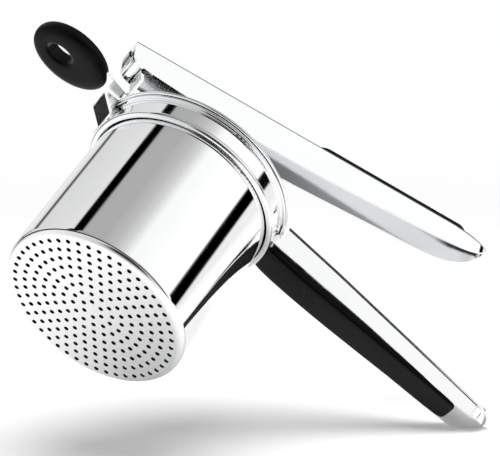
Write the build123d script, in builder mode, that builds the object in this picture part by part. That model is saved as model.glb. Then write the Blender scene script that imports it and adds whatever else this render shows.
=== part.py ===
"""Potato ricer: drop-in perforated cup, collar with handle, hinged lever with pressing plate.

Frame: origin at the centre of the cup's flat bottom, +Z up the cup's axis, +X along the handles.
The part is symmetric about the XZ plane. Millimetres.
"""
import math
import os

from build123d import *

os.makedirs("parts", exist_ok=True)

# ---- cup
CUP_R = 42.0
CUP_WALL = 0.8
CUP_FLOOR = 1.2
CUP_TOP = 88.0
FLANGE_R = 47.0
FLANGE_T = 1.5
HOLE_R = 1.1
HOLE_RINGS = 8
HOLE_PITCH = 4.65

# ---- collar
RING_IN = 42.4
RING_OUT = 44.2
RING_LOW = 74.3
RING_TOP = 86.2
RING_LIP_R = 46.3

# ---- lower handle (s runs along it from the root, depths are below its lip plane)
H_ROOT = (44.0, 0.0, 92.8)
H_DROP = 3.68
H_LEN = 115.4
H_TIP_R = 8.0
H_HALF = 10.2
H_SHEET = 1.2
H_DEPTH = [(-6, 12.4), (0, 12.3), (35, 11.0), (60, 10.0), (90, 9.0), (112, 8.1), (119, 6.6), (123.6, 3.0)]
PAD_DEPTH = [(1, 15.2), (8, 16.2), (30, 16.2), (55, 13.9), (80, 11.9), (100, 10.3), (109, 9.0)]

# ---- upper lever (s runs from its front end, depths are below its top face)
L_FRONT = (-55.9, 0.0, 120.9)
L_RISE = 12.6
L_LEN = 188.7
L_HALF = 8.0
L_SHEET = 1.2
L_NOSE = 22.7
L_EAR = [(0, 2.0), (0.6, 5.5), (1.3, 8.5), (3.2, 10.8), (6.5, 12.0)]
L_EDGE = [(12, 12.7), (40, 14.6), (71, 15.7), (90, 15.5), (113, 14.4), (139, 12.9), (165, 11.2), (177, 8.8),
          (184, 5.1), (188.7, -1.0)]
GRIP_S = (94.5, 175.5)
GRIP_T = 3.0

# ---- hinge and plunger
HINGE = (-49.5, 114.5)
PIN_R = 2.5
RUN_GAP = 0.08
STRAP_T = 1.4
STRAP_HALF = 6.2
PLUNGER_PIN = (-5.0, 126.0)
PLATE_X = -2.9
PLATE_Z = 2.0
PLATE_R = 37.0
PLATE_T = 1.2
PLATE_RIM = 5.0
YOKE_T = 1.5
YOKE_TOP = 4.2
BUSH_LEN = 9.2

# ---- hanging loop
LOOP_X = -73.8
LOOP_Z = 96.5
LOOP_A = 19.1
LOOP_B = 15.0
LOOP_T = 8.0
LOOP_HOLE = (-4.5, 6.4, 5.1)
TANG_T = 1.5
RIVET_Z = 93.3
RIVET_R = 1.4


def finish(part, label):
    part.label = label
    export_step(part, "parts/" + label + ".step")


def strip(path, thickness):
    """Flat outline of a bent strap with the given centre line."""
    with BuildSketch() as outline:
        make_face(offset(Wire(path.edges()), amount=thickness / 2, side=Side.BOTH).edges())
    return outline.sketch_local


def side_plane(origin, tilt):
    """Side view plane through origin: local x along the arm, local y up from it."""
    a = math.radians(tilt)
    return Plane(origin=origin, x_dir=(math.cos(a), 0, math.sin(a)), z_dir=(0, -1, 0))


def top_plane(origin, tilt, depth=0.0):
    """Plan view plane of an arm, depth below its reference face."""
    a = math.radians(tilt)
    o = (origin[0] + depth * math.sin(a), 0, origin[2] - depth * math.cos(a))
    return Plane(origin=o, x_dir=(math.cos(a), 0, math.sin(a)), z_dir=(-math.sin(a), 0, math.cos(a)))


def down(points):
    return [(s, -d) for s, d in points]


# ================================================================ cup
with BuildPart() as cup:
    with BuildSketch(Plane.XZ):
        with BuildLine():
            Polyline((0, 0), (CUP_R - 3.2, 0))
            RadiusArc((CUP_R - 3.2, 0), (CUP_R, 3.2), -3.2)
            Polyline((CUP_R, 3.2), (CUP_R, CUP_TOP - FLANGE_T), (FLANGE_R - 0.7, CUP_TOP - FLANGE_T))
            RadiusArc((FLANGE_R - 0.7, CUP_TOP - FLANGE_T), (FLANGE_R - 0.7, CUP_TOP), -0.78)
            Polyline((FLANGE_R - 0.7, CUP_TOP), (CUP_R + 0.4, CUP_TOP))
            RadiusArc((CUP_R + 0.4, CUP_TOP), (CUP_R - CUP_WALL, CUP_TOP - 1.2), -1.2)
            Polyline((CUP_R - CUP_WALL, CUP_TOP - 1.2), (CUP_R - CUP_WALL, 3.2))
            RadiusArc((CUP_R - CUP_WALL, 3.2), (CUP_R - CUP_WALL - 2.0, CUP_FLOOR), 2.0)
            Polyline((CUP_R - CUP_WALL - 2.0, CUP_FLOOR), (0, CUP_FLOOR), (0, 0))
        make_face()
    revolve(axis=Axis.Z)
    with BuildSketch(Plane.XY.offset(-1)):
        for ring in range(1, HOLE_RINGS + 1):
            with PolarLocations(ring * HOLE_PITCH, 6 * ring):
                Circle(HOLE_R)
    extrude(amount=CUP_FLOOR + 2, mode=Mode.SUBTRACT)
finish(cup.part, "cup")

# ================================================================ collar
with BuildPart() as ring_band:
    with BuildSketch(Plane.XZ):
        with BuildLine():
            Polyline((RING_IN, RING_LOW + 0.9), (RING_IN, RING_TOP - 0.7))
            RadiusArc((RING_IN, RING_TOP - 0.7), (RING_IN + 0.7, RING_TOP), 0.7)
            Polyline((RING_IN + 0.7, RING_TOP), (RING_LIP_R - 0.6, RING_TOP))
            RadiusArc((RING_LIP_R - 0.6, RING_TOP), (RING_LIP_R - 0.6, RING_TOP - 1.2), 0.62)
            Polyline((RING_LIP_R - 0.6, RING_TOP - 1.2), (RING_OUT + 0.6, RING_TOP - 1.2))
            RadiusArc((RING_OUT + 0.6, RING_TOP - 1.2), (RING_OUT, RING_TOP - 1.8), -0.6)
            Polyline((RING_OUT, RING_TOP - 1.8), (RING_OUT, RING_LOW + 2.9))
            RadiusArc((RING_OUT, RING_LOW + 2.9), (RING_OUT - 0.4, RING_LOW), 1.55)
            Polyline((RING_OUT - 0.4, RING_LOW), (RING_IN + 0.9, RING_LOW))
            RadiusArc((RING_IN + 0.9, RING_LOW), (RING_IN, RING_LOW + 0.9), 0.9)
        make_face()
    revolve(axis=Axis.Z)
finish(ring_band.part, "ring_band")


# ================================================================ lower handle
def handle_plan(inset, start):
    """Plan outline of the trough, inset from the wall's outer face."""
    half = H_HALF - inset
    tip = H_TIP_R - inset
    with BuildSketch() as plan:
        with BuildLine():
            Polyline((H_LEN, tip), (32, half), (start, half), (start, -half), (32, -half), (H_LEN, -tip))
            ThreePointArc((H_LEN, -tip), (H_LEN + tip, 0), (H_LEN, tip))
        make_face()
    return plan.sketch_local


def handle_side(points, top, thicker=0.0):
    """Side outline between a level line and the trough's bottom line."""
    low = [(s, -d - thicker) for s, d in points]
    with BuildSketch() as side:
        with BuildLine():
            Spline(*low)
            Polyline(low[-1], (low[-1][0] + 8, low[-1][1]), (low[-1][0] + 8, top), (low[0][0], top), low[0])
        make_face()
    return side.sketch_local


def trough_solid(inset, rise, start):
    """Solid bounded by the trough's wall (inset) and bottom line (raised)."""
    with BuildPart() as body:
        with BuildSketch(top_plane(H_ROOT, -H_DROP)):
            add(handle_plan(inset, start))
        extrude(amount=-18, taper=2.5)
        with BuildSketch(side_plane(H_ROOT, -H_DROP)):
            add(handle_side(H_DEPTH, 1.0, -rise))
        extrude(amount=15, both=True, mode=Mode.INTERSECT)
    return body.part


with BuildPart() as root_cut:
    with Locations((0, 0, 60)):
        Cylinder(RING_OUT, 60, align=(Align.CENTER, Align.CENTER, Align.MIN))
    with Locations((0, 0, RING_TOP - 2.0)):
        Cylinder(FLANGE_R + 0.6, 30, align=(Align.CENTER, Align.CENTER, Align.MIN))

trough_outer = trough_solid(0.0, 0.0, -5)
trough_inner = trough_solid(H_SHEET, H_SHEET, -6)

with BuildPart() as handle_shell:
    add(trough_outer)
    with BuildSketch(top_plane(H_ROOT, -H_DROP)):
        add(handle_plan(-0.9, -5))
    extrude(amount=-1.2)
    add(trough_inner, mode=Mode.SUBTRACT)
    with BuildSketch(top_plane(H_ROOT, -H_DROP)):
        add(handle_plan(H_SHEET, -6))
    extrude(amount=3, both=True, mode=Mode.SUBTRACT)
    add(root_cut.part, mode=Mode.SUBTRACT)
finish(handle_shell.part, "handle_shell")

with BuildPart() as root_weld:
    with Locations((0, 0, 78.6)):
        Cylinder(RING_OUT + 1.7, RING_TOP - 1.8 - 78.6, align=(Align.CENTER, Align.CENTER, Align.MIN))
        Cylinder(RING_OUT, 20, align=(Align.CENTER, Align.CENTER, Align.MIN), mode=Mode.SUBTRACT)
    with BuildSketch(side_plane(H_ROOT, -H_DROP)):
        with BuildLine():
            Polyline((-6, 0), (12, 0), (12, -13.6), (-6, -13.9), (-6, 0))
        make_face()
    extrude(amount=H_HALF + 1.4, both=True, mode=Mode.INTERSECT)
    add(trough_outer, mode=Mode.SUBTRACT)
finish(root_weld.part, "root_weld")

with BuildPart() as handle_grip:
    with BuildSketch(top_plane(H_ROOT, -H_DROP, 6.0)):
        with BuildLine():
            Polyline((103, 6.4), (32, 8.6), (10, 8.6))
            ThreePointArc((10, 8.6), (1.4, 0), (10, -8.6))
            Polyline((10, -8.6), (32, -8.6), (103, -6.4))
            ThreePointArc((103, -6.4), (109.4, 0), (103, 6.4))
        make_face()
    extrude(amount=-12, taper=9)
    with BuildSketch(side_plane(H_ROOT, -H_DROP)):
        add(handle_side(PAD_DEPTH, -4.0))
    extrude(amount=15, both=True, mode=Mode.INTERSECT)
    add(trough_outer, mode=Mode.SUBTRACT)
    add(root_cut.part, mode=Mode.SUBTRACT)
    add(root_weld.part, mode=Mode.SUBTRACT)
finish(handle_grip.part, "handle_grip")


# ================================================================ hinge bracket
def strap_path():
    """Centre line of the bent strap in the XZ plane, from the curl's open end to the foot."""
    r = PIN_R + RUN_GAP + STRAP_T / 2
    hx, hz = HINGE
    a = math.radians(215)
    b = math.radians(90)
    foot = -(RING_OUT + STRAP_T / 2)
    with BuildLine() as path:
        ThreePointArc((hx + r * math.cos(a), hz + r * math.sin(a)), (hx + r * math.cos(b), hz + r * math.sin(b)),
                      (hx + r, hz))
        FilletPolyline((hx + r, hz), (hx + r, 111.0), (-43.6, 106.5), (-43.6, 90.2), (-52.4, 89.6), (-52.4, 88.0),
                       (foot, 81.0), (foot, 76.9), radius=0.75)
    return path.line


with BuildPart() as hinge_bracket:
    with BuildSketch(Plane.XZ):
        add(strip(strap_path(), STRAP_T))
    extrude(amount=STRAP_HALF, both=True)
    with Locations(Location((-43.6, 0, RIVET_Z), (0, 90, 0))):
        Cylinder(RIVET_R, 4, mode=Mode.SUBTRACT)
finish(hinge_bracket.part, "hinge_bracket")

with BuildPart() as bracket_weld:
    with Locations((0, 0, 77.4)):
        Cylinder(RING_OUT + 0.9, 3.0, align=(Align.CENTER, Align.CENTER, Align.MIN))
        Cylinder(RING_OUT, 4.0, align=(Align.CENTER, Align.CENTER, Align.MIN), mode=Mode.SUBTRACT)
    with BuildSketch(Plane.XY.offset(70)):
        with Locations((-45, 0)):
            Rectangle(6, 2 * STRAP_HALF + 2.6)
    extrude(amount=20, mode=Mode.INTERSECT)
    add(hinge_bracket.part, mode=Mode.SUBTRACT)
finish(bracket_weld.part, "bracket_weld")

# ================================================================ hanging loop
STRAP_OUT = -43.6 - STRAP_T / 2
with BuildPart() as loop_tang:
    with BuildSketch(Plane.XY.offset(LOOP_Z - TANG_T / 2)):
        with BuildLine():
            Polyline((STRAP_OUT, -4.6), (-54, -7.2), (-66, -7.2), (-66, 7.2), (-54, 7.2), (STRAP_OUT, 4.6),
                     (STRAP_OUT, -4.6))
        make_face()
    extrude(amount=TANG_T)
    with Locations((STRAP_OUT - TANG_T / 2, 0, LOOP_Z - 2.4)):
        Box(TANG_T, 9.2, 4.8 + TANG_T / 2)
    with Locations(Location((STRAP_OUT, 0, RIVET_Z), (0, 90, 0))):
        Cylinder(RIVET_R, 10, mode=Mode.SUBTRACT)
finish(loop_tang.part, "loop_tang")

with BuildPart() as bracket_rivet:
    with Locations(Location((STRAP_OUT, 0, RIVET_Z), (0, 90, 0))):
        Cylinder(RIVET_R, TANG_T, align=(Align.CENTER, Align.CENTER, Align.MAX))
        Cylinder(RIVET_R, STRAP_T, align=(Align.CENTER, Align.CENTER, Align.MIN))
    for face_x, side in ((STRAP_OUT - TANG_T, Align.MAX), (STRAP_OUT + STRAP_T, Align.MIN)):
        with Locations(Location((face_x, 0, RIVET_Z), (0, 90, 0))):
            Cylinder(RIVET_R + 0.9, 0.9, align=(Align.CENTER, Align.CENTER, side))
finish(bracket_rivet.part, "bracket_rivet")

with BuildPart() as loop_rubber:
    for level, grow in ((-LOOP_T / 2, -2.2), (-LOOP_T / 4, -0.5), (0, 0), (LOOP_T / 4, -0.5), (LOOP_T / 2, -2.2)):
        with BuildSketch(Plane.XY.offset(LOOP_Z + level)):
            with Locations((LOOP_X, 0)):
                Ellipse(LOOP_A + grow, LOOP_B + grow)
    loft()
    for level, grow in ((-LOOP_T / 2, 1.2), (-LOOP_T / 4, 0.3), (0, 0), (LOOP_T / 4, 0.3), (LOOP_T / 2, 1.2)):
        with BuildSketch(Plane.XY.offset(LOOP_Z + level)):
            with Locations((LOOP_X + LOOP_HOLE[0], 0)):
                Ellipse(LOOP_HOLE[1] + grow, LOOP_HOLE[2] + grow)
    loft(mode=Mode.SUBTRACT)
    add(loop_tang.part, mode=Mode.SUBTRACT)
finish(loop_rubber.part, "loop_rubber")


# ================================================================ lever
def lever_plan(inset, front):
    """Plan outline of the lever, inset from the wall's outer face."""
    half = L_HALF - inset
    back = L_LEN - L_NOSE
    with BuildSketch() as plan:
        with BuildLine():
            Polyline((back, half), (front, half), (front, -half), (back, -half))
            EllipticalCenterArc((back, 0), L_NOSE - inset, half, start_angle=-90, arc_size=180)
        make_face()
    return plan.sketch_local


def top_face_edges(builder):
    """Edges of the topmost face across the lever, without the straight front edge."""
    up = top_plane(L_FRONT, L_RISE).z_dir
    top = builder.faces().sort_by(lambda f: (f.center() - Vector(*L_FRONT)).dot(up))[-1]
    return [e for e in top.edges() if (e.center() - Vector(*L_FRONT)).length > 1.0]


with BuildPart() as lever_channel:
    with BuildSketch(top_plane(L_FRONT, L_RISE)):
        add(lever_plan(0.0, 0.0))
    extrude(amount=-20)
    fillet(top_face_edges(lever_channel), radius=1.6)
    with BuildSketch(side_plane(L_FRONT, L_RISE)):
        with BuildLine():
            edge = down(L_EDGE)
            Polyline((0, 1), *down(L_EAR), edge[0])
            Spline(*edge)
            Polyline(edge[-1], (0, 1))
        make_face()
    extrude(amount=12, both=True, mode=Mode.INTERSECT)
    with BuildSketch(top_plane(L_FRONT, L_RISE, L_SHEET)):
        add(lever_plan(L_SHEET, -1.0))
    extrude(amount=-20, mode=Mode.SUBTRACT)
    for px, pz in (HINGE, PLUNGER_PIN):
        with Locations(Location((px, 0, pz), (90, 0, 0))):
            Cylinder(PIN_R, 30, mode=Mode.SUBTRACT)
finish(lever_channel.part, "lever_channel")

with BuildPart() as lever_grip:
    with BuildSketch(top_plane(L_FRONT, L_RISE)):
        with Locations(((GRIP_S[0] + GRIP_S[1]) / 2, 0)):
            SlotOverall(GRIP_S[1] - GRIP_S[0], 12.4)
    extrude(amount=GRIP_T)
    fillet(top_face_edges(lever_grip), radius=1.6)
finish(lever_grip.part, "lever_grip")


def riveted_pin(x, z):
    """Pin along Y through both lever walls, ground flush outside."""
    with BuildPart() as pin:
        with Locations(Location((x, 0, z), (90, 0, 0))):
            Cylinder(PIN_R, 2 * L_HALF)
    return pin.part


finish(riveted_pin(*HINGE), "hinge_pin")
finish(riveted_pin(*PLUNGER_PIN), "plunger_pin")

with BuildPart() as plunger_bush:
    with Locations(Location((PLUNGER_PIN[0], 0, PLUNGER_PIN[1]), (90, 0, 0))):
        Cylinder(PIN_R + 1.5, BUSH_LEN)
        Cylinder(PIN_R, 10, mode=Mode.SUBTRACT)
finish(plunger_bush.part, "plunger_bush")

# ================================================================ plunger
PLATE_TOP = PLATE_Z + PLATE_T


def yoke_path():
    """Centre line of the yoke strap in the YZ plane."""
    web = PLATE_TOP + YOKE_T / 2
    arm = L_HALF - L_SHEET - 0.4 - YOKE_T / 2
    high = PLUNGER_PIN[1] + 5
    with BuildLine() as path:
        FilletPolyline((arm, high), (arm, 104), (17, 78), (17, web), (-17, web), (-17, 78), (-arm, 104),
                       (-arm, high), radius=3)
    return path.line


with BuildPart() as plunger_yoke:
    with BuildSketch(Plane.YZ):
        add(strip(yoke_path(), YOKE_T))
    extrude(amount=30, both=True)
    with BuildSketch(Plane.XZ):
        with BuildLine():
            px, pz = PLUNGER_PIN
            Polyline((px + YOKE_TOP, pz), (px + 4.6, 100), (PLATE_X + 13, 62), (PLATE_X + 13, 0), (PLATE_X - 13, 0),
                     (PLATE_X - 13, 62), (px - 4.6, 100), (px - YOKE_TOP, pz))
            ThreePointArc((px - YOKE_TOP, pz), (px, pz + YOKE_TOP), (px + YOKE_TOP, pz))
        make_face()
    extrude(amount=40, both=True, mode=Mode.INTERSECT)
    with Locations(Location((px, 0, pz), (90, 0, 0))):
        Cylinder(PIN_R + RUN_GAP, 60, mode=Mode.SUBTRACT)
    with Locations(*[(PLATE_X + dx, dy, PLATE_TOP) for dx in (-8, 8) for dy in (-11, 11)]):
        Cylinder(1.8, 10, mode=Mode.SUBTRACT)
finish(plunger_yoke.part, "plunger_yoke")

with BuildPart() as plunger_plate:
    with BuildSketch(Plane.XZ):
        with BuildLine():
            lip = PLATE_Z + PLATE_RIM
            Polyline((0, PLATE_Z), (PLATE_R - 2.5, PLATE_Z))
            RadiusArc((PLATE_R - 2.5, PLATE_Z), (PLATE_R, PLATE_Z + 2.5), -2.5)
            Polyline((PLATE_R, PLATE_Z + 2.5), (PLATE_R, lip), (PLATE_R - PLATE_T, lip),
                     (PLATE_R - PLATE_T, PLATE_Z + 2.5))
            RadiusArc((PLATE_R - PLATE_T, PLATE_Z + 2.5), (PLATE_R - 2.5, PLATE_TOP), 1.3)
            Polyline((PLATE_R - 2.5, PLATE_TOP), (0, PLATE_TOP), (0, PLATE_Z))
        make_face()
    revolve(axis=Axis.Z)
    plunger_plate.part.position = (PLATE_X, 0, 0)
with BuildPart() as plate_moved:
    add(plunger_plate.part)
    with Locations(*[(PLATE_X + dx, dy, PLATE_TOP) for dx in (-8, 8) for dy in (-11, 11)]):
        Cylinder(1.8, 10, mode=Mode.SUBTRACT)
finish(plate_moved.part, "plunger_plate")

with BuildPart() as plunger_rivets:
    with Locations(*[(PLATE_X + dx, dy, PLATE_Z) for dx in (-8, 8) for dy in (-11, 11)]):
        Cylinder(1.8, PLATE_T + YOKE_T, align=(Align.CENTER, Align.CENTER, Align.MIN))
    with Locations(*[(PLATE_X + dx, dy, PLATE_TOP + YOKE_T) for dx in (-8, 8) for dy in (-11, 11)]):
        Cylinder(3.0, 1.1, align=(Align.CENTER, Align.CENTER, Align.MIN))
    fillet(plunger_rivets.edges().filter_by(GeomType.CIRCLE).group_by(Axis.Z)[-1], radius=0.8)
finish(plunger_rivets.part, "plunger_rivets")
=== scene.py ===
"""Potato ricer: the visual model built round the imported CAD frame, in metres, in the row frame."""
import math

import bmesh
import bpy
from mathutils import Matrix, Vector


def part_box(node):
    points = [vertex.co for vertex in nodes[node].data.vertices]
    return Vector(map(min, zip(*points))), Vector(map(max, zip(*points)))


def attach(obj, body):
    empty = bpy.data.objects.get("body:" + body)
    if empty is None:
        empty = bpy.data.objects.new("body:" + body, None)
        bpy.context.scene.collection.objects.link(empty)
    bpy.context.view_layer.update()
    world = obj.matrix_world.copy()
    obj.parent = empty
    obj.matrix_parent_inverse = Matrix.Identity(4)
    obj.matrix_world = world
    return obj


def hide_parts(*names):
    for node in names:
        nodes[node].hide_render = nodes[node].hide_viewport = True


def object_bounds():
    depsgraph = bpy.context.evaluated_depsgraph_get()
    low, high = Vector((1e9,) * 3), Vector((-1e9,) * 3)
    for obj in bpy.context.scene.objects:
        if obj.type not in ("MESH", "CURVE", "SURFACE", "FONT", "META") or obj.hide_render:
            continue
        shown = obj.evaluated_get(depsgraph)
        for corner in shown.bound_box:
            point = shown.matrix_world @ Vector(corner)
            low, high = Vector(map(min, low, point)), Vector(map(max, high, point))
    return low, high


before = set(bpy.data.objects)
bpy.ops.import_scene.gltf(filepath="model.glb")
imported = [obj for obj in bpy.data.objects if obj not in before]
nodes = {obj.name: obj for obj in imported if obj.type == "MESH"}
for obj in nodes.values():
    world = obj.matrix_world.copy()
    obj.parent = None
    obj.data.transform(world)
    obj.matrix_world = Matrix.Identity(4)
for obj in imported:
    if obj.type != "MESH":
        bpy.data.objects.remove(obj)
bpy.context.view_layer.update()
cad_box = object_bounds()
scene = bpy.context.scene
scene.view_settings.view_transform = "Standard"
MM = 0.001

# The studio's lamp and floor, in metres and watts.
LAMP_HEIGHT, LAMP_SIZE, LAMP_POWER = 0.9, 0.95, 15.0
FLOOR_HALF, FLOOR_SOLID, FLOOR_GONE = 0.9, 0.30, 0.80
FLOOR_SHADES, FLOOR_GLOW = (0.60, 0.62), 0.16
FLOOR_TILT = math.radians(10)
STEEL_REFLECTANCE = 0.9
# The cup's punched bottom: how high its satin face reaches, and the field of the holes' painted
# shade.
SATIN_TOP, SATIN_FULL = 0.0022, 0.0006
HOLE_FIELD, HOLE_TOP = 0.0395, 0.0013
# The hanging loop, in millimetres: its hole's place and half sizes, and how boxy each rim is.
HOLE_BACK, HOLE_LONG, HOLE_WIDE = 4.5, 6.2, 4.7
OUTER_BEND, INNER_BEND = 0.85, 0.30
LOOP_STEPS, RIM_STEPS = 72, 24
# The handle's pad, in millimetres: where it starts, how it leans, and how far its top is sunk.
PAD_ROOT, PAD_DROP, PAD_SINK = (44.0, 0.0, 92.8), math.radians(3.68), 0.6
PAD_DRAFT, PAD_CROWN = 0.16, 0.08
# Distance along the pad, half width, and depths of its top and its underside.
PAD_STATIONS = [
    (0.9, 7.0, 12.0, 14.4), (1.2, 7.7, 12.0, 15.0), (2.4, 8.2, 12.0, 15.6),
    (8, 8.4, 12.0, 16.0), (20, 8.4, 11.5, 15.9), (30, 8.4, 11.1, 15.4),
    (43, 8.4, 10.6, 14.6), (55, 8.1, 10.2, 13.7), (68, 7.8, 9.7, 12.8),
    (80, 7.4, 9.3, 11.9), (92, 7.1, 8.8, 11.0), (102, 6.8, 8.4, 10.4),
    (105.5, 6.6, 8.3, 10.0), (107.6, 6.0, 8.2, 9.7), (108.6, 4.8, 8.2, 9.2)]
# How far the sharp edges of the bent sheet are rounded, in metres.
EASED = {"handle_shell": 0.00040, "hinge_bracket": 0.00030, "loop_tang": 0.00030}
WELD_GAP, SHARP_ANGLE = 0.000002, math.radians(28)

# ---------------------------------------------------------------- camera
RIGHT = Vector((0.7686, -0.4448, 0.4598))
DOWN = Vector((0.6343, 0.4366, -0.6379))
AHEAD = Vector((0.0830, 0.7820, 0.6178))
EYE = Vector((-0.0592, -0.8719, -0.6028))
turn = Matrix((RIGHT, -DOWN, -AHEAD)).transposed().to_4x4()
camera = bpy.data.objects.new("camera", bpy.data.cameras.new("camera"))
scene.collection.objects.link(camera)
camera.matrix_world = Matrix.Translation(EYE) @ turn
camera.data.sensor_width = 36.0
camera.data.lens = 184.3
camera.data.clip_start, camera.data.clip_end = 0.02, 20.0
scene.camera = camera


# ---------------------------------------------------------------- node helpers
class Tree:
    """A node tree with short ways to add nodes and join them."""

    def __init__(self, tree):
        tree.nodes.clear()
        self.tree = tree

    def add(self, kind, inputs=(), **settings):
        node = self.tree.nodes.new("ShaderNode" + kind)
        for key, value in settings.items():
            setattr(node, key, value)
        for key, value in dict(inputs).items():
            self.put(node.inputs[key], value)
        return node

    def put(self, socket, value):
        if isinstance(value, bpy.types.NodeSocket):
            self.tree.links.new(value, socket)
        else:
            socket.default_value = value

    def math(self, operation, a, b=0.0, c=0.0, clamp=False):
        node = self.add("Math", operation=operation, use_clamp=clamp)
        for socket, value in zip(node.inputs, (a, b, c)):
            self.put(socket, value)
        return node.outputs[0]

    def ramp(self, value, stops):
        node = self.add("ValToRGB", {"Fac": value})
        ramp = node.color_ramp
        for i, (place, shade) in enumerate(stops):
            element = ramp.elements[i] if i < 2 else ramp.elements.new(place)
            element.position = place
            shade = (shade,) * 3 if isinstance(shade, (int, float)) else shade
            element.color = (*shade, 1.0)
        return node.outputs["Color"]

    def fade(self, value, low, high, out_low=0.0, out_high=1.0):
        node = self.add("MapRange", {"Value": value, "From Min": low, "From Max": high,
                                     "To Min": out_low, "To Max": out_high},
                        interpolation_type="SMOOTHSTEP")
        return node.outputs["Result"]

    def mix(self, factor, a, b):
        node = self.add("Mix", data_type="RGBA")
        for place, value in ((0, factor), (6, a), (7, b)):
            self.put(node.inputs[place], value)
        return node.outputs[2]

    def tint(self, a, b):
        node = self.add("Mix", data_type="RGBA", blend_type="MULTIPLY")
        self.put(node.inputs[0], 1.0)
        self.put(node.inputs[6], a)
        self.put(node.inputs[7], b)
        return node.outputs[2]

    def noise(self, vector, scale, detail=3.0, stretch=None):
        if stretch:
            vector = self.add("Mapping", {"Vector": vector, "Scale": stretch}).outputs[0]
        node = self.add("TexNoise", {"Vector": vector, "Scale": scale, "Detail": detail})
        return node.outputs["Fac"]


def grey(level):
    return (level, level, level, 1.0)


# ---------------------------------------------------------------- studio
def light_of(shade):
    """Light that is displayed as this shade."""
    return shade / 12.92 if shade < 0.04 else ((shade + 0.055) / 1.055) ** 2.4


# The soft studio round the ricer: compass direction in degrees, shade shown in a polished wall.
ROUND = [(-180, .88), (-172, .88), (-170.5, .0), (-160.5, .0), (-158.5, .67), (-134, .69),
         (-118, .77), (-107, .87), (-96, 1.03), (-33, 1.06), (-30.5, .0), (-16.5, .0),
         (-14, .93), (12, .95), (24, .93), (27, .04), (36, .04), (39, .72), (60, .74),
         (72, .95), (78, .05), (92, .05), (98, .92), (116, .90), (126, .84), (128, .35),
         (133, .35), (136, .84), (179, .87)]
# Shade by height, as the sine of the elevation, away from the band that the walls show.
STEPS = [(-1.0, .80), (-0.80, .97), (-0.35, 1.0), (-0.16, .93), (-0.10, .04), (0.12, .03),
         (0.18, .92), (0.80, .90), (0.88, .50), (1.0, .40)]
# Where ROUND is used instead of STEPS, by half the sine of the elevation, plus a half.
WALL_ZONE = [(0.0, 0.0), (0.56, 0.0), (0.60, 1.0), (0.90, 1.0), (0.94, 0.0)]
# A dark patch, seen in faces turned to the lens: cosine from LENS_SIDE, share of the light kept.
LENS_SIDE = Vector((-0.083, -0.782, -0.618))
LENS_PATCH = [(0.0, 1.0), (0.45, 0.80), (0.86, 0.66), (0.93, 0.03), (1.0, 0.02)]

world = bpy.data.worlds.new("studio")
scene.world = world
world.use_nodes = True
sky = Tree(world.node_tree)
direction = sky.add("TexCoord").outputs["Generated"]
x, y, z = sky.add("SeparateXYZ", {"Vector": direction}).outputs
compass = sky.math("MULTIPLY_ADD", sky.math("ARCTAN2", y, x), 1 / math.tau, 0.5)
walls = sky.ramp(compass, [((a + 180) / 360, light_of(b) / STEEL_REFLECTANCE) for a, b in ROUND])
half_up = sky.math("MULTIPLY_ADD", z, 0.5, 0.5, clamp=True)
steps = sky.ramp(half_up, [(a / 2 + 0.5, light_of(b) / STEEL_REFLECTANCE) for a, b in STEPS])
light = sky.mix(sky.ramp(half_up, WALL_ZONE), steps, walls)
towards = sky.add("VectorMath", {0: direction, 1: LENS_SIDE}, operation="DOT_PRODUCT")
light = sky.tint(light, sky.ramp(towards.outputs["Value"], LENS_PATCH))
shown = sky.add("LightPath").outputs["Is Camera Ray"]
light = sky.mix(shown, light, grey(1.0))
backdrop = sky.add("Background", {"Color": light, "Strength": 1.0})
sky.add("OutputWorld", {"Surface": backdrop.outputs[0]})

# The floor's normal: the picture's up, tilted back. The handle's tip touches the floor.
FLOOR_UP = (-DOWN * math.cos(FLOOR_TILT) - AHEAD * math.sin(FLOOR_TILT)).normalized()
TOUCH = Vector((0.1640, 0.0, 0.0775))


def overhead_lamp():
    """A soft lamp over the middle of the ricer, not seen in the steel."""
    lamp = bpy.data.lights.new("overhead", "AREA")
    lamp.shape, lamp.size, lamp.energy = "DISK", LAMP_SIZE, LAMP_POWER
    obj = bpy.data.objects.new("overhead", lamp)
    scene.collection.objects.link(obj)
    obj.location = middle + FLOOR_UP * LAMP_HEIGHT
    obj.rotation_euler = FLOOR_UP.to_track_quat("Z", "Y").to_euler()
    obj.visible_glossy = False


middle = (Vector(cad_box[0]) + Vector(cad_box[1])) / 2
overhead_lamp()


def floor():
    """White ground under the handle's tip, fading out sideways and unseen from below."""
    mesh = bpy.data.meshes.new("floor")
    bm = bmesh.new()
    bmesh.ops.create_grid(bm, x_segments=8, y_segments=8, size=FLOOR_HALF)
    bm.to_mesh(mesh)
    bm.free()
    obj = bpy.data.objects.new("floor", mesh)
    scene.collection.objects.link(obj)
    place = middle - FLOOR_UP * (middle - TOUCH).dot(FLOOR_UP)
    tilt = FLOOR_UP.to_track_quat("Z", "Y").to_matrix().to_4x4()
    obj.matrix_world = Matrix.Translation(place) @ tilt
    material = bpy.data.materials.new("floor")
    material.use_nodes = True
    t = Tree(material.node_tree)
    spot = t.add("TexCoord").outputs["Object"]
    speck = t.noise(spot, 60, 2)
    diffuse = t.add("BsdfDiffuse", {"Color": t.ramp(speck, list(enumerate(FLOOR_SHADES)))})
    glow = t.add("Emission", {"Color": grey(1.0), "Strength": FLOOR_GLOW})
    lit = t.add("AddShader", {0: diffuse.outputs[0], 1: glow.outputs[0]})
    clear = t.add("BsdfTransparent")
    reach = t.add("VectorMath", {0: spot}, operation="LENGTH").outputs["Value"]
    below = t.add("NewGeometry").outputs["Backfacing"]
    hidden = t.math("MAXIMUM", t.fade(reach, FLOOR_SOLID, FLOOR_GONE), below)
    shader = t.add("MixShader", {"Fac": hidden, 1: lit.outputs[0], 2: clear.outputs[0]})
    t.add("OutputMaterial", {"Surface": shader.outputs[0]})
    mesh.materials.append(material)


floor()


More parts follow.
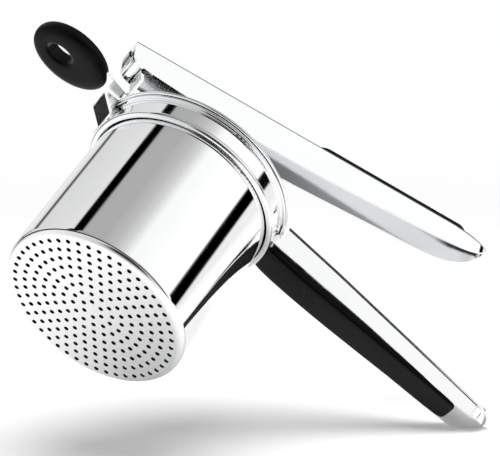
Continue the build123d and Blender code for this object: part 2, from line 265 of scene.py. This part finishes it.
# ---------------------------------------------------------------- materials
def material(name):
    made = bpy.data.materials.new(name)
    made.use_nodes = True
    return made, Tree(made.node_tree)


def steel(name, shade, rough, grain=(1, 1, 1), ripple=0.04, satin=None, smear=0.05):
    """Polished sheet: fine lines along the grain, faint smears and a slight ripple. With satin,
    the cup's bottom is duller and the walls of its punched holes carry painted shade."""
    made, t = material(name)
    spot = t.add("TexCoord").outputs["Object"]
    lines = t.noise(spot, 900, 4, grain)
    patch = t.noise(spot, 26, 3)
    across = (grain[0], 3 * grain[1], grain[2])
    scuffs = t.ramp(t.noise(spot, 240, 6, across), [(0.60, 0.0), (0.74, 1.0)])
    rough_value = t.math("ADD", t.fade(patch, 0.35, 0.75, rough, rough + smear),
                         t.fade(lines, 0.3, 0.8, 0.0, 0.03))
    rough_value = t.math("MULTIPLY_ADD", scuffs, 0.05, rough_value)
    tone = t.ramp(patch, [(0.3, shade), (0.8, tuple(0.965 * c for c in shade))])
    bump = t.add("Bump", {"Strength": ripple, "Distance": 0.0006, "Height": t.noise(spot, 14, 1)})
    fine = t.add("Bump", {"Strength": 0.05, "Distance": 0.00002, "Height": lines,
                          "Normal": bump.outputs[0]})
    if satin:
        x_place, y_place, z_place = t.add("SeparateXYZ", {"Vector": spot}).outputs
        mask = t.fade(z_place, SATIN_TOP, SATIN_FULL)
        rough_value = t.math("MAXIMUM", rough_value, t.math("MULTIPLY", mask, satin))
        upright = t.add("SeparateXYZ", {"Vector": t.add("TexCoord").outputs["Normal"]}).outputs["Z"]
        reach = t.math("SQRT", t.math("ADD", t.math("MULTIPLY", x_place, x_place),
                                      t.math("MULTIPLY", y_place, y_place)))
        # Painted shade: upright faces inside the hole field are coloured near black, for the shadow
        # in the holes.
        hole_shade = t.math("MULTIPLY", t.math("LESS_THAN", t.math("ABSOLUTE", upright), 0.5),
                         t.math("LESS_THAN", reach, HOLE_FIELD))
        hole_shade = t.math("MULTIPLY", hole_shade, t.math("LESS_THAN", z_place, HOLE_TOP))
        tone = t.mix(hole_shade, tone, grey(0.03))
        rough_value = t.math("MAXIMUM", rough_value, t.math("MULTIPLY", hole_shade, 0.6))
    shader = t.add("BsdfPrincipled", {"Base Color": tone, "Metallic": 1.0,
                                      "Roughness": rough_value, "Normal": fine.outputs[0]})
    t.add("OutputMaterial", {"Surface": shader.outputs[0]})
    return made


def moulded(name, shade, rough, painted_light_gain=8.0):
    """Satin black moulding: fine pebble, rubbed edges, a little dust, and painted light on its flat
    faces.
    """
    made, t = material(name)
    spot = t.add("TexCoord").outputs["Object"]
    pebble = t.noise(spot, 1500, 2)
    patch = t.noise(spot, 45, 4)
    edge = t.fade(t.add("NewGeometry").outputs["Pointiness"], 0.53, 0.62)
    rub = t.math("MULTIPLY", edge, t.fade(patch, 0.35, 0.65, 0.2, 1.0))
    dust = t.ramp(t.noise(spot, 420, 5), [(0.68, 0.0), (0.80, 1.0)])
    # Painted light: faces turned up or down are coloured lighter than the sides.
    facing = t.add("TexCoord").outputs["Normal"]
    flat = t.math("ABSOLUTE", t.add("SeparateXYZ", {"Vector": facing}).outputs["Z"])
    flat = t.fade(flat, 0.72, 0.93)
    base = t.mix(flat, grey(shade), grey(shade * painted_light_gain))
    colour = t.mix(t.math("MULTIPLY", rub, 0.10), base, grey(0.06))
    colour = t.mix(t.math("MULTIPLY", dust, 0.03), colour, grey(0.35))
    rough_value = t.math("ADD", t.fade(patch, 0.3, 0.7, rough, rough + 0.08),
                         t.math("MULTIPLY", rub, -0.08))
    bump = t.add("Bump", {"Strength": 0.12, "Distance": 0.0001, "Height": pebble})
    shader = t.add("BsdfPrincipled", {"Base Color": colour, "Roughness": rough_value,
                                      "Specular IOR Level": 0.10, "Normal": bump.outputs[0]})
    t.add("OutputMaterial", {"Surface": shader.outputs[0]})
    return made


CLEAN = (0.905, 0.910, 0.918)
LOOKS = {
    "cup": steel("polished_cup", CLEAN, 0.02, (1, 1, 0.04), 0.02, satin=0.34, smear=0.03),
    "ring_band": steel("polished_band", CLEAN, 0.03, (1, 1, 0.05), 0.10),
    "handle_shell": steel("polished_handle", CLEAN, 0.06, (0.05, 1, 1), 0.08),
    "lever_channel": steel("polished_lever", CLEAN, 0.05, (0.05, 1, 1), 0.12),
    "root_weld": steel("weld", (0.80, 0.80, 0.81), 0.16, (1, 1, 1), 0.3),
    "bracket_weld": steel("weld_small", (0.80, 0.80, 0.81), 0.16, (1, 1, 1), 0.3),
    "hinge_bracket": steel("bracket", (0.88, 0.885, 0.89), 0.11, (1, 0.05, 1), 0.08),
    "loop_tang": steel("tang", (0.86, 0.865, 0.87), 0.12, (0.05, 1, 1), 0.08),
    "bracket_rivet": steel("rivet", (0.82, 0.83, 0.84), 0.14, (1, 1, 1), 0.15),
    "hinge_pin": steel("pin", CLEAN, 0.06, (0.05, 1, 1), 0.08),
    "plunger_pin": steel("pin_front", CLEAN, 0.06, (0.05, 1, 1), 0.08),
    "plunger_bush": steel("bush", (0.80, 0.81, 0.82), 0.2, (1, 0.05, 1), 0.05),
    "plunger_yoke": steel("yoke", (0.84, 0.845, 0.85), 0.2, (1, 1, 0.05), 0.1),
    "plunger_plate": steel("press_plate", (0.84, 0.845, 0.85), 0.2, (1, 1, 1), 0.1),
    "plunger_rivets": steel("plate_rivets", (0.82, 0.83, 0.84), 0.2, (1, 1, 1), 0.1),
    "handle_grip": moulded("handle_moulding", 0.0012, 0.24),
    "lever_grip": moulded("lever_moulding", 0.0012, 0.24),
    "loop_rubber": moulded("loop_moulding", 0.0014, 0.34, painted_light_gain=2.0),
}
for name, look in LOOKS.items():
    nodes[name].data.materials.clear()
    nodes[name].data.materials.append(look)


def ease(name, width):
    """Joins the imported faces and rounds the sharp edges, so that they catch a line of light."""
    node = nodes[name]
    join = node.modifiers.new("join", "WELD")
    join.merge_threshold = WELD_GAP
    rounding = node.modifiers.new("rounding", "BEVEL")
    rounding.width, rounding.segments = width, 2
    rounding.limit_method, rounding.angle_limit = "ANGLE", SHARP_ANGLE
    rounding.harden_normals = True
    rounding.use_clamp_overlap = True


for name, width in EASED.items():
    ease(name, width)


# ---------------------------------------------------------------- made pieces
def skin(name, rings, joined, level):
    """A subdivided mesh through rings of points, in metres, joined end to end or closed."""
    bm = bmesh.new()
    rows = [[bm.verts.new(p) for p in ring] for ring in rings]
    pairs = list(zip(rows, rows[1:])) + ([(rows[-1], rows[0])] if joined else [])
    for a, b in pairs:
        for i in range(len(a)):
            j = (i + 1) % len(a)
            bm.faces.new((a[i], a[j], b[j], b[i]))
    if not joined:
        bm.faces.new(rows[0][::-1])
        bm.faces.new(rows[-1])
    bmesh.ops.recalc_face_normals(bm, faces=bm.faces)
    for face in bm.faces:
        face.smooth = True
    mesh = bpy.data.meshes.new(name)
    bm.to_mesh(mesh)
    bm.free()
    obj = bpy.data.objects.new(name, mesh)
    scene.collection.objects.link(obj)
    fine = obj.modifiers.new("fine", "SUBSURF")
    fine.levels = fine.render_levels = level
    return obj


def power(value, exponent):
    return math.copysign(abs(value) ** exponent, value)


def hanging_loop():
    """An oval ring, its hole off centre, with a rounded outer rim and a steeper inner one."""
    (x0, y0, z0), (x1, y1, z1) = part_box("loop_rubber")
    cx, cz, a, b = (x0 + x1) / 2, (z0 + z1) / 2, (x1 - x0) / 2, (y1 - y0) / 2
    half = (z1 - z0) / 2
    hole_x, hole_a, hole_b = cx - HOLE_BACK * MM, HOLE_LONG * MM, HOLE_WIDE * MM
    rings = []
    for i in range(LOOP_STEPS):
        angle = math.tau * i / LOOP_STEPS
        out = Vector((cx + a * math.cos(angle), b * math.sin(angle), cz))
        inner = Vector((hole_x + hole_a * math.cos(angle), hole_b * math.sin(angle), cz))
        mid, reach = (out + inner) / 2, (out - inner) / 2
        ring = []
        for k in range(RIM_STEPS):
            turn_k = math.tau * k / RIM_STEPS
            bend = OUTER_BEND if math.cos(turn_k) > 0 else INNER_BEND
            ring.append(mid + reach * power(math.cos(turn_k), bend)
                        + Vector((0, 0, half * power(math.sin(turn_k), bend))))
        rings.append(ring)
    return skin("hanging_loop", rings, joined=True, level=1)


def handle_pad():
    """The long grip under the handle: squared ends, a flat underside and drafted sides."""
    root = Vector(PAD_ROOT)
    along = Vector((math.cos(PAD_DROP), 0, -math.sin(PAD_DROP)))
    deeper = Vector((-math.sin(PAD_DROP), 0, -math.cos(PAD_DROP)))
    rings = []
    for s, half, top, low in PAD_STATIONS:
        top -= PAD_SINK
        slope, corner = PAD_DRAFT * (low - top), 1.1 if low - top > 3 else 0.6
        side = [(half, top), (half - 0.3 * slope, top + 0.3 * (low - top)),
                (half - slope + 0.1, low - corner),
                (half - slope - 0.25 * corner, low - 0.35 * corner),
                (half - slope - corner, low), (0.45 * half, low + 0.06)]
        other = [(-w, d) for w, d in reversed(side)]
        profile = side + [(0.0, low + PAD_CROWN)] + other + [(0.0, top)]
        centre = root + along * s
        rings.append([(centre + Vector((0, w, 0)) + deeper * d) * MM for w, d in profile])
    return skin("handle_pad", rings, joined=False, level=2)


pad = handle_pad()
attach(pad, "base")
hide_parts("handle_grip")
pad.data.materials.append(LOOKS["handle_grip"])

loop = hanging_loop()
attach(loop, "base")
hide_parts("loop_rubber")
loop.data.materials.append(LOOKS["loop_rubber"])
loop.visible_glossy = False

bpy.context.view_layer.update()
